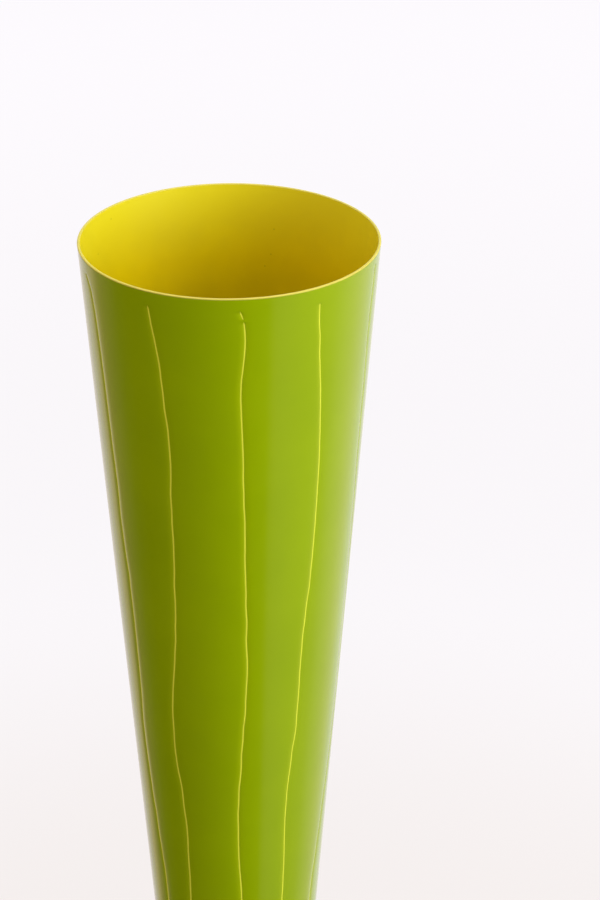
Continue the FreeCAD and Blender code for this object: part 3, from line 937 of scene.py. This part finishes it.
@dataclass
class GreenCoat:
    """The green enamel of the cone, with its lines scribed through to the yellow.

    Columns of the mesh follow the lines, so that each groove has crisp, softly rounded banks.

    Attributes:
        half_line_mm: half of a line's usual width.
        closed_share: a line's width where its cut is closed, as a share of its open width.
        bank_columns_mm: distance of each column beside a line from its bank.
        open_columns: number of columns between the banks of two lines.
        edge_reveal: how far below the lip the enamel stops.
        joint_reveal: how far above the waist it stops.
        bank_drop_mm: how far the enamel has sunk at a bank, and over what reach it rises.
        dip_drop_mm: depth of the soft valley along a line, and its reach.
        edge_drop_mm: how far the enamel has sunk at its upper and lower edge, and its reach.
        thin_and_painted_light_before: how much thin-film colour the bank before its line takes:
            thin enamel, and painted light that makes this bank paler than the one after.
        thin_after: how thin it looks on the bank that comes after it.
        line_taper_mm: length over which a line's end opens.
        row_step: height of a usual row of the mesh.
        fine_step: height of a row where the lines begin.
        foot_step: height of a row where they end.
        bond: how far the enamel's back stands off the yellow.
        wander_mm: how far a line strays from its smooth curve, over wander_pitch_mm.
        wander_stride: how far apart in the noise two lines are read.
        edges_mm: distance of each row beside an edge of the enamel from that edge.
        join: distance within which two points of the mesh become one.
        crease_degrees: the angle between two faces above which their edge stays sharp.
    """

    cone: Cone
    finish: bpy.types.Material
    lines: Sequence[ScribedLine] = SCRIBED_LINES
    half_line_mm: float = 0.35
    closed_share: float = 0.45
    bank_columns_mm: tuple[float, ...] = (0.0, 0.06, 0.17, 0.36, 0.7, 1.2, 1.9, 2.9)
    open_columns: int = 9
    edge_reveal: float = 0.8 * MM
    joint_reveal: float = 0.4 * MM
    bank_drop_mm: float = 0.09
    bank_reach_mm: float = 0.4
    dip_drop_mm: float = 0.17
    dip_reach_mm: float = 1.8
    edge_drop_mm: float = 0.03
    edge_reach_mm: float = 0.12
    thin_and_painted_light_before: float = 0.55
    thin_after: float = 0.2
    line_taper_mm: float = 1.0
    row_step: float = 4.1 * MM
    fine_step: float = 0.6 * MM
    fine_rows: int = 22
    foot_step: float = 1.2 * MM
    foot_rows: int = 8
    bond: float = 0.01 * MM
    wander_mm: float = 0.5
    wander_pitch_mm: float = 12.0
    wander_stride: float = 7.3
    edges_mm: tuple[float, ...] = (0.0, 0.03, 0.09, 0.2, 0.4, 0.7)
    join: float = 1e-7
    crease_degrees: float = 40.0

    def heights(self) -> list[float]:
        """Place the rows of the mesh.

        Returns:
            The height of each row, from the lip down.
        """
        top = self.cone.rim - self.edge_reveal
        bottom = self.cone.waist + self.joint_reveal
        edge = [mm * MM for mm in self.edges_mm]
        rows = [top - depth for depth in edge]
        rows += [rows[-1] - self.fine_step * (step + 1) for step in range(self.fine_rows)]
        low_edge = [bottom + depth for depth in reversed(edge)]
        foot = [low_edge[0] + self.foot_step * step for step in range(self.foot_rows, 0, -1)]
        foot += low_edge
        span = rows[-1] - foot[0]
        count = round(span / self.row_step)
        middle = [rows[-1] - span * step / count for step in range(1, count)]
        return rows + middle + foot

    def opened(self, line: ScribedLine, height: float) -> float:
        """Find how wide a line is open at a height.

        Args:
            line: the line.
            height: the height to look at.

        Returns:
            A share, from 0 at the line's ends and gaps to 1.
        """
        length_mm = (self.cone.rim - self.cone.waist) / MM
        share = self.cone.down(height)
        from_start = (share - line.bends[0][0]) * length_mm
        to_end = (line.bends[-1][0] - share) * length_mm
        nearest = min(from_start, to_end)
        for first, last in line.gaps:
            beside = max(first - share, share - last) * length_mm
            nearest = min(nearest, beside)
        return max(0.0, min(1.0, nearest / self.line_taper_mm))

    def bearings(self, height: float) -> list[float]:
        """Find where the lines are at a height, with their small wander.

        Args:
            height: the height to look at.

        Returns:
            Each line's bearing in degrees, and the first line's again, a full turn on.
        """
        radius_mm = self.cone.enamel(height) / MM
        share = self.cone.down(height)
        bearings = []
        for number, line in enumerate(self.lines):
            spot = Vector((number * self.wander_stride, height / MM / self.wander_pitch_mm, 0.0))
            shake_mm = noise.noise(spot) * self.wander_mm
            bearings.append(line.bearing(share) + math.degrees(shake_mm / radius_mm))
        return bearings + [bearings[0] + FULL_TURN]

    def bank(
        self, number: int, bearing: float, height: float, side: float
    ) -> list[tuple[float, float, float]]:
        """Place the columns beside one bank of a line.

        Args:
            number: the line's number, which may be one past the last.
            bearing: the line's bearing in degrees.
            height: the row's height.
            side: 1 for the bank that comes after the line, -1 for the one before it.

        Returns:
            Each column's bearing in degrees, signed distance from the bank in mm, and how
            wide the line is open, from the bank outwards.
        """
        radius_mm = self.cone.enamel(height) / MM
        line = self.lines[number % len(self.lines)]
        opening = self.opened(line, height)
        opened_share = self.closed_share + (1 - self.closed_share) * opening
        half = self.half_line_mm * line.weight * opened_share
        columns = []
        for away in self.bank_columns_mm:
            degrees = math.degrees((half + away) / radius_mm) * side
            columns.append((bearing + degrees, away * side, opening))
        return columns

    def columns(self, height: float) -> list[tuple[float, float, float]]:
        """Place the columns of the mesh at a height.

        Args:
            height: the row's height.

        Returns:
            Each column's bearing in degrees, distance from its line's bank in mm, and how
            wide that line is open. The distance is negative before the line.
        """
        radius_mm = self.cone.enamel(height) / MM
        bearings = self.bearings(height)
        row = []
        for number in range(len(self.lines)):
            leaving = self.bank(number, bearings[number], height, 1.0)
            arriving = self.bank(number + 1, bearings[number + 1], height, -1.0)[::-1]
            first, last = leaving[-1][0], arriving[0][0]
            gap_mm = math.radians(last - first) * radius_mm
            row += leaving
            for step in range(1, self.open_columns + 1):
                part = step / (self.open_columns + 1)
                near = leaving[-1] if part < 0.5 else arriving[0]
                away = near[1] + math.copysign(gap_mm * min(part, 1 - part), near[1])
                row.append((first + (last - first) * part, away, near[2]))
            row += arriving
        bearing, away, opening = row[0]
        row.append((bearing + FULL_TURN, away, opening))
        return row

    def drop(self, away_mm: float, opening: float) -> float:
        """Work out how far the enamel has sunk beside a line.

        Args:
            away_mm: distance from the line's bank.
            opening: how wide the line is open, from 0 to 1.

        Returns:
            The depth below the cone's outer surface.
        """
        bank = self.bank_drop_mm * math.exp(-((away_mm / self.bank_reach_mm) ** 2))
        dip = self.dip_drop_mm * math.exp(-((away_mm / self.dip_reach_mm) ** 2))
        return (bank + dip) * opening * MM

    def edge_drop(self, height: float) -> float:
        """Work out how far the enamel has sunk beside its upper and lower edges.

        Args:
            height: the height to look at.

        Returns:
            The depth below the cone's outer surface.
        """
        top = self.cone.rim - self.edge_reveal - height
        bottom = height - self.cone.waist - self.joint_reveal
        nearest_mm = min(top, bottom) / MM
        return self.edge_drop_mm * MM * math.exp(-((nearest_mm / self.edge_reach_mm) ** 2))

    def build(self) -> bpy.types.Object:
        """Shape the coat from a flat grid, cut the lines and thicken it.

        Returns:
            The finished coat.
        """
        heights = self.heights()
        rows = [self.columns(height) for height in heights]
        across, down = len(rows[0]) - 1, len(heights) - 1
        deselect_all()
        bpy.ops.mesh.primitive_grid_add(x_subdivisions=across, y_subdivisions=down, size=2.0)
        coat = bpy.context.object
        coat.name = "green_coat"
        coat.data.name = "green_coat"
        self._cut_lines(coat, heights, across, down)
        film = coat.data.attributes.new("thin_film_and_painted_light", "FLOAT", "POINT")
        for vertex in coat.data.vertices:
            column = round((vertex.co.x + 1) / 2 * across)
            row = round((1 - vertex.co.y) / 2 * down)
            bearing, away, opening = rows[row][column]
            height = heights[row]
            sunk = self.drop(away, opening) + self.edge_drop(height)
            radius = self.cone.enamel(height) - sunk
            angle = math.radians(bearing)
            vertex.co = (radius * math.sin(angle), -radius * math.cos(angle), height)
            # The bank before a line takes more thin-film colour: painted light that makes that side
            # paler.
            thin = self.thin_and_painted_light_before if math.copysign(1.0, away) < 0 else self.thin_after
            film.data[vertex.index].value = min(1.0, sunk / self.cone.coat) * thin
        self._thicken(coat)
        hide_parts("body_green_coat")
        dress(coat, self.finish)
        return coat

    def _cut_lines(
        self, coat: bpy.types.Object, heights: Sequence[float], across: int, down: int
    ) -> None:
        """Delete the faces of the flat grid that lie in an open stretch of a line.

        Args:
            coat: the flat grid, 2 units wide and high.
            heights: the height that each row of it stands for.
            across: number of faces across it.
            down: number of faces down it.
        """
        bpy.ops.object.mode_set(mode="EDIT")
        bpy.ops.mesh.select_mode(type="FACE")
        bpy.ops.mesh.select_all(action="DESELECT")
        bpy.ops.object.mode_set(mode="OBJECT")
        per_line = across // len(self.lines)
        for polygon in coat.data.polygons:
            column = int((polygon.center.x + 1) / 2 * across)
            row = int((1 - polygon.center.y) / 2 * down)
            polygon.select = False
            if column % per_line == per_line - 1:
                line = self.lines[(column // per_line + 1) % len(self.lines)]
                middle = (heights[row] + heights[row + 1]) / 2
                polygon.select = self.opened(line, middle) > 0.0
        bpy.ops.object.mode_set(mode="EDIT")
        bpy.ops.mesh.delete(type="FACE")
        bpy.ops.mesh.select_mode(type="VERT")
        bpy.ops.object.mode_set(mode="OBJECT")

    def _thicken(self, coat: bpy.types.Object) -> None:
        """Close the seam, give the enamel its thickness and lay its back on the yellow.

        Args:
            coat: the coat's outer surface, already round.
        """
        bpy.ops.object.mode_set(mode="EDIT")
        bpy.ops.mesh.select_all(action="SELECT")
        bpy.ops.mesh.remove_doubles(threshold=self.join)
        bpy.ops.mesh.normals_make_consistent(inside=False)
        bpy.ops.object.mode_set(mode="OBJECT")
        faces = len(coat.data.vertices)
        solidify = coat.modifiers.new("enamel", "SOLIDIFY")
        solidify.thickness = self.cone.coat
        solidify.offset = -1.0
        apply_modifiers(coat)
        vertices = coat.data.vertices
        for number in range(faces, len(vertices)):
            front = vertices[number - faces].co
            radius = self.cone.metal(front.z) + self.bond
            outward = Vector((front.x, front.y, 0.0)).normalized()
            vertices[number].co = outward * radius + Vector((0.0, 0.0, front.z))
        settle(coat, self.crease_degrees)


@dataclass
class Foot:
    """The flared foot: spun metal, its green enamel, and the felt under it.

    Attributes:
        metal_radius: radius of the metal's skirt.
        wall: thickness of the metal.
        coat: thickness of the green enamel.
        shoulder: radius of the round shoulder of the metal.
        skirt: height at which the shoulder ends.
        neck_rise: how far the neck stands up inside the cone, with neck_clearance round it.
        neck_bend: radius of the neck's upper corner.
        stud_hole: radius of the hole in the neck's top.
        rim_flange: how wide the turned-in rim is, and felt_clearance what it leaves the felt.
        reveal: how far below the waist the green enamel begins.
        rim_reveal: how far above the rim it stops.
        bond: how far its back stands off the metal.
        edge_round: radius of the skirt's lower corner.
        soft_share: size of the enamel's soft edges, as a share of its thickness.
        corner_share: how far its lower corner is cut back, as a share of that edge.
        crown_shares: how far its upper corner is cut inwards and stands up, as shares of it.
        felt_soft: radius of the felt's soft edges.
        sweep: radius of the concave sweep of the metal, tangent to the shoulder.
        turn_degrees: the angle that the sweep and the shoulder turn through.
    """

    cone: Cone
    yellow: bpy.types.Material
    green: bpy.types.Material
    felt: bpy.types.Material
    metal_radius: float = 62.7 * MM
    wall: float = 1.2 * MM
    coat: float = 0.3 * MM
    shoulder: float = 6.0 * MM
    skirt: float = 7.0 * MM
    neck_rise: float = 12.0 * MM
    neck_clearance: float = 0.1 * MM
    neck_bend: float = 2.0 * MM
    stud_hole: float = 4.5 * MM
    rim_flange: float = 2.5 * MM
    felt_clearance: float = 0.5 * MM
    reveal: float = 0.4 * MM
    rim_reveal: float = 0.8 * MM
    bond: float = 0.01 * MM
    edge_round: float = 0.5 * MM
    soft_share: float = 0.6
    corner_share: float = 0.3
    crown_shares: Pair = (0.6, 0.2)
    felt_soft: float = 0.35 * MM
    flare_steps: int = 28
    bend_steps: int = 6
    inner_bend_steps: int = 4
    edge_steps: int = 5
    felt_steps: int = 3
    sweep: float = field(init=False)
    turn_degrees: float = field(init=False)

    def __post_init__(self) -> None:
        """Work out the sweep that runs from the waist tangent into the shoulder."""
        spread = self.metal_radius - self.cone.metal(self.cone.waist)
        fall = self.cone.waist - self.skirt
        self.sweep = (fall * fall + spread * spread) / (2 * spread) - self.shoulder
        self.turn_degrees = math.degrees(math.asin(fall / (self.sweep + self.shoulder)))

    def flare(self, offset: float, drop: float) -> Profile:
        """Draw the flare from the waist to the skirt, on a surface outside the metal.

        Args:
            offset: how far outside the metal the surface lies, negative for inside it.
            drop: how far below the waist the flare begins.

        Returns:
            The flare's points, from the waist down.
        """
        reach = self.sweep - offset
        centre = (self.cone.metal(self.cone.waist) + self.sweep, self.cone.waist)
        start = 180.0 + math.degrees(math.asin(drop / reach))
        points = arc(centre, reach, start, 180.0 + self.turn_degrees, self.flare_steps)
        centre = (self.metal_radius - self.shoulder, self.skirt)
        round_steps = self.flare_steps // 2
        points += arc(centre, self.shoulder + offset, self.turn_degrees, 0.0, round_steps)[1:]
        return points

    def build_shell(self, lathe: Lathe, lift: float) -> bpy.types.Object:
        """Turn the foot's metal with its neck, ledge and turned-in rim.

        Args:
            lathe: what turns it.
            lift: height of the rim above the table.

        Returns:
            The finished metal.
        """
        cone, wall, bend, edge = self.cone, self.wall, self.neck_bend, self.edge_round
        neck = cone.inside(cone.waist) - self.neck_clearance
        top = cone.waist + self.neck_rise
        flange = self.metal_radius - wall - self.rim_flange
        corner = (neck - bend, top - bend)
        outside = [(self.stud_hole, top)]
        outside += arc(corner, bend, 90.0, 0.0, self.bend_steps)
        outside += [(neck, cone.waist)]
        outside += self.flare(0.0, 0.0)
        outside += arc((self.metal_radius - edge, lift + edge), edge, 0.0, -90.0, self.edge_steps)
        inside = [(flange, lift), (flange, lift + wall), (self.metal_radius - wall, lift + wall)]
        inside += self.flare(-wall, wall)[::-1]
        inside += [(neck - wall, cone.waist - wall)]
        inside += arc(corner, bend - wall, 0.0, 90.0, self.inner_bend_steps)
        inside += [(self.stud_hole, top - wall)]
        shell = lathe.turn("foot_metal", outside + inside)
        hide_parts("foot_shell")
        dress(shell, self.yellow)
        return shell

    def build_coat(self, lathe: Lathe, lift: float) -> bpy.types.Object:
        """Turn the foot's green enamel with its rounded edges.

        Args:
            lathe: what turns it.
            lift: height of the metal's rim above the table.

        Returns:
            The finished enamel.
        """
        outer = self.flare(self.coat, self.reveal)
        inner = self.flare(self.bond, self.reveal)
        radius, bottom = self.metal_radius + self.coat, lift + self.rim_reveal
        soft = self.coat * self.soft_share
        corner = soft * self.corner_share
        crown_in, crown_up = (soft * share for share in self.crown_shares)
        crown = [(outer[0][0] - crown_in, outer[0][1] + crown_up)]
        low_edge = [(radius, bottom + soft), (radius - corner, bottom + corner)]
        low_edge += [(radius - soft, bottom), (inner[-1][0], bottom)]
        coat = lathe.turn("foot_enamel", crown + outer[1:] + low_edge + inner[::-1])
        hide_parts("foot_green_coat")
        dress(coat, self.green)
        return coat

    def build_felt(self, lathe: Lathe) -> bpy.types.Object:
        """Turn the felt pad, with soft edges and a flat face to stand on.

        Args:
            lathe: what turns it.

        Returns:
            The finished pad.
        """
        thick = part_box("felt_pad")[1][2]
        radius = self.metal_radius - self.wall - self.rim_flange - self.felt_clearance
        soft = self.felt_soft
        flat = radius - 3 * soft
        profile = [(flat, 0.0), (radius - soft, 0.0)]
        profile += arc((radius - soft, soft), soft, -60.0, 0.0, self.felt_steps)
        profile += [(radius, thick - soft), (radius - soft, thick), (flat, thick)]
        felt = lathe.turn("felt_disc", profile, ring=False)
        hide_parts("felt_pad")
        dress(felt, self.felt)
        return felt


@dataclass(frozen=True)
class Lamp:
    """A square soft lamp.

    Attributes:
        name: the lamp's name.
        place: where its middle hangs.
        size: how long its side is.
        watts: its power.
        colour: its light's colour, as six hex digits.
    """

    name: str
    place: Place
    size: float
    watts: float
    colour: str

    def hang(self, target: Place) -> None:
        """Hang the lamp so that it faces a place.

        Args:
            target: the place that it faces.
        """
        data = bpy.data.lights.new(self.name, "AREA")
        data.size = self.size
        data.energy = self.watts
        data.color = linear(self.colour)[:3]
        lamp = bpy.data.objects.new(self.name, data)
        lamp.location = self.place
        aim = Vector(target) - Vector(self.place)
        lamp.rotation_euler = aim.to_track_quat("-Z", "Y").to_euler()
        bpy.context.collection.objects.link(lamp)


@dataclass
class Studio:
    """A plain pale floor, soft light and the photograph's camera.

    Attributes:
        lens_pixels: focal length, in pixels of a frame frame_pixels high.
        pitch_degrees: how far the camera looks down.
        turn_degrees: how far it looks to the left.
        roll_degrees: how far it is turned about the way it looks.
        eye: the camera's place.
        clip_end: how far it sees.
        floor_glow: the floor's colour at a distance from the vase, up to floor_reach.
        floor_lit: the floor's colour where it throws light on the vase.
        floor_shaded: how much lamp light shows on the floor in view, so that it takes a shadow.
        backdrop: what the camera sees behind the floor.
        ambient: strength of the even light from all round.
        lamps: the lamps, which all face lamp_target.
        surround: what a gloss mirrors, by its bearing in degrees from +Y, which grows towards
            +X, as linear red, green and blue.
    """

    lens_pixels: float = 3804.9
    frame_pixels: float = 900.0
    sensor_mm: float = 36.0
    pitch_degrees: float = 25.609
    turn_degrees: float = 0.035
    roll_degrees: float = -0.068
    eye: Place = (0.03632, -1.7587, 1.33606)
    clip_end: float = 60.0
    floor_glow: tuple[tuple[float, str], ...] = ((0.35, "E3DDDC"), (0.8, "EBE8EB"), (2.1, "F4F1F5"))
    floor_reach: float = 2.2
    floor_radius: float = 9.0
    floor_sides: int = 96
    floor_lit: str = "8C8C8C"
    floor_shaded: str = "606060"
    backdrop: str = "FEFBFF"
    ambient: float = 0.4
    lamps: tuple[Lamp, ...] = (
        Lamp("key", (1.6, -0.8, 1.2), 1.4, 48.0, "FFFFFF"),
        Lamp("fill", (-1.6, -0.9, 1.2), 1.2, 9.0, "FFC890"),
        Lamp("overhead", (-0.3, 0.0, 2.2), 1.8, 25.0, "FFFFFF"),
    )
    lamp_target: Place = (0.0, 0.0, 0.4)
    surround: tuple[tuple[float, Place], ...] = (
        (-180.0, (0.0, 0.0, 0.0)),
        (-95.0, (0.0, 0.0, 0.0)),
        (-81.0, (0.03, 0.02, 0.03)),
        (-70.0, (0.20, 0.11, 0.11)),
        (-57.0, (0.44, 0.25, 0.20)),
        (-46.0, (0.98, 0.70, 0.50)),
        (-33.0, (1.0, 0.86, 0.82)),
        (0.0, (1.0, 0.93, 0.92)),
        (33.0, (1.0, 0.93, 0.98)),
        (46.0, (1.0, 0.80, 0.82)),
        (61.0, (0.82, 0.61, 0.61)),
        (74.0, (0.58, 0.45, 0.46)),
        (88.0, (0.28, 0.20, 0.24)),
        (106.0, (0.20, 0.20, 0.18)),
        (133.0, (0.26, 0.26, 0.23)),
        (141.0, (0.24, 0.24, 0.21)),
        (148.0, (0.04, 0.04, 0.02)),
        (160.0, (0.0, 0.0, 0.0)),
        (180.0, (0.0, 0.0, 0.0)),
    )

    def camera(self) -> None:
        """Set the camera where the photograph's was."""
        data = bpy.data.cameras.new("camera")
        data.sensor_width = self.sensor_mm
        data.lens = self.lens_pixels / self.frame_pixels * self.sensor_mm
        data.clip_end = self.clip_end
        eye = bpy.data.objects.new("camera", data)
        turn = Matrix.Rotation(math.radians(self.turn_degrees), 4, "Z")
        tilt = Matrix.Rotation(math.radians(90.0 - self.pitch_degrees), 4, "X")
        roll = Matrix.Rotation(math.radians(self.roll_degrees), 4, "Z")
        eye.matrix_world = Matrix.Translation(self.eye) @ turn @ tilt @ roll
        bpy.context.collection.objects.link(eye)
        bpy.context.scene.camera = eye

    def world(self) -> None:
        """Surround the vase: white to the camera, and lit in sectors for reflections."""
        world = bpy.data.worlds.new("studio")
        bpy.context.scene.world = world
        world.use_nodes = True
        tree = world.node_tree
        tree.nodes.clear()
        rays = add_node(tree, "ShaderNodeLightPath").outputs
        toward = add_node(tree, "ShaderNodeTexCoord").outputs["Generated"]
        split = add_node(tree, "ShaderNodeSeparateXYZ", inputs={0: toward}).outputs
        inputs = {0: split["X"], 1: split["Y"]}
        turn = add_node(tree, "ShaderNodeMath", {"operation": "ARCTAN2"}, inputs).outputs[0]
        inputs = {"Value": turn, "From Min": -math.pi, "From Max": math.pi}
        share = add_node(tree, "ShaderNodeMapRange", inputs=inputs).outputs["Result"]
        ramp = add_node(tree, "ShaderNodeValToRGB", inputs={"Fac": share})
        stops = [(degrees / FULL_TURN + 0.5, (*light, 1.0)) for degrees, light in self.surround]
        set_stops(ramp.color_ramp, "LINEAR", stops)
        glows = []
        for colour, strength in (
            (linear("FFFFFF"), self.ambient),
            (ramp.outputs["Color"], 1.0),
            (linear(self.backdrop), 1.0),
        ):
            inputs = {"Color": colour, "Strength": strength}
            glows.append(add_node(tree, "ShaderNodeBackground", inputs=inputs).outputs[0])
        ambient, mirrored, backdrop = glows
        inputs = {0: rays["Is Glossy Ray"], 1: ambient, 2: mirrored}
        around = add_node(tree, "ShaderNodeMixShader", inputs=inputs).outputs[0]
        inputs = {0: rays["Is Camera Ray"], 1: rays["Is Transmission Ray"]}
        seen = add_node(tree, "ShaderNodeMath", {"operation": "MAXIMUM"}, inputs).outputs[0]
        inputs = {0: seen, 1: around, 2: backdrop}
        final = add_node(tree, "ShaderNodeMixShader", inputs=inputs).outputs[0]
        add_node(tree, "ShaderNodeOutputWorld", inputs={"Surface": final})

    def floor(self) -> None:
        """Lay the floor: pale to the camera, with the vase's soft shadow on it."""
        deselect_all()
        bpy.ops.mesh.primitive_circle_add(
            vertices=self.floor_sides, radius=self.floor_radius, fill_type="NGON"
        )
        floor = bpy.context.object
        floor.name = "floor"
        material = bpy.data.materials.new("painted board")
        material.use_nodes = True
        tree = material.node_tree
        tree.nodes.clear()
        rays = add_node(tree, "ShaderNodeLightPath").outputs
        place = add_node(tree, "ShaderNodeTexCoord").outputs["Object"]
        reach = add_node(tree, "ShaderNodeVectorMath", {"operation": "LENGTH"}, {0: place})
        inputs = {0: reach.outputs["Value"], 1: self.floor_reach}
        share = add_node(tree, "ShaderNodeMath", {"operation": "DIVIDE"}, inputs).outputs[0]
        ramp = add_node(tree, "ShaderNodeValToRGB", inputs={"Fac": share})
        stops = [(distance / self.floor_reach, linear(tone)) for distance, tone in self.floor_glow]
        set_stops(ramp.color_ramp, "EASE", stops)
        inputs = {"Color": ramp.outputs["Color"], "Strength": 1.0}
        glow = add_node(tree, "ShaderNodeEmission", inputs=inputs).outputs[0]
        lit, shaded = (
            add_node(tree, "ShaderNodeBsdfDiffuse", inputs={"Color": linear(tone)}).outputs[0]
            for tone in (self.floor_lit, self.floor_shaded)
        )
        both = add_node(tree, "ShaderNodeAddShader", inputs={0: shaded, 1: glow}).outputs[0]
        inputs = {0: rays["Is Camera Ray"], 1: lit, 2: both}
        final = add_node(tree, "ShaderNodeMixShader", inputs=inputs).outputs[0]
        add_node(tree, "ShaderNodeOutputMaterial", inputs={"Surface": final})
        floor.data.materials.append(material)
        floor.visible_glossy = False

    def build(self) -> None:
        """Set up the camera, the surroundings, the floor and the lamps."""
        self.camera()
        self.world()
        self.floor()
        for lamp in self.lamps:
            lamp.hang(self.lamp_target)
        bpy.context.scene.view_settings.view_transform = "Standard"


def dress_frame(
    finishes: dict[Slot, bpy.types.Material], nodes: dict[str, bpy.types.Object]
) -> None:
    """Give the CAD pieces that stay as they are their finishes.

    Args:
        finishes: the material of each slot.
        nodes: the frame's nodes by name.
    """
    kept = {
        "floor_cup": Slot.YELLOW,
        "foot_stud": Slot.STEEL,
        "seat_gasket": Slot.RUBBER,
        "spacer_tube": Slot.STEEL,
        "foot_weight": Slot.IRON,
        "stud_washer": Slot.STEEL,
        "stud_nut": Slot.STEEL,
        "base_plate": Slot.STEEL,
    }
    for name, slot in kept.items():
        mesh = nodes[name].data
        mesh.materials.clear()
        mesh.materials.append(finishes[slot])
        LOG.info("dressed %s in %s", name, slot.value)


def main() -> None:
    """Load the frame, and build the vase's pieces and the studio."""
    logging.basicConfig(level=logging.INFO, format="%(message)s")
    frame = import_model()
    shell_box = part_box("body_shell")
    cone = Cone(waist=shell_box[0][2], rim=shell_box[1][2])
    finishes = {
        Slot.YELLOW: YellowEnamel("satin yellow enamel", "CFB700", roughness=0.42).material(),
        Slot.GREEN: GreenEnamel("glossy green enamel", "8FA600", roughness=0.1).material(),
        Slot.STEEL: ZincSteel("zinc-plated steel", "C2C5C2", roughness=0.32).material(),
        Slot.IRON: CastIron("cast iron", "2B2B2A", roughness=0.7).material(),
        Slot.RUBBER: NitrileRubber("nitrile rubber", "171716", roughness=0.75).material(),
        Slot.FELT: WoolFelt("wool felt", "2C3420", roughness=0.95).material(),
    }
    dress_frame(finishes, frame["nodes"])
    lathe = Lathe()
    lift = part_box("foot_shell")[0][2]
    foot = Foot(cone, finishes[Slot.YELLOW], finishes[Slot.GREEN], finishes[Slot.FELT])
    pieces = [
        YellowWall(cone, finishes[Slot.YELLOW]).build(lathe),
        GreenCoat(cone, finishes[Slot.GREEN]).build(),
        foot.build_shell(lathe, lift),
        foot.build_coat(lathe, lift),
        foot.build_felt(lathe),
    ]
    for piece in pieces:
        LOG.info("built %s with %d faces", piece.name, len(piece.data.polygons))
    Studio().build()


if __name__ == "__main__":
    main()
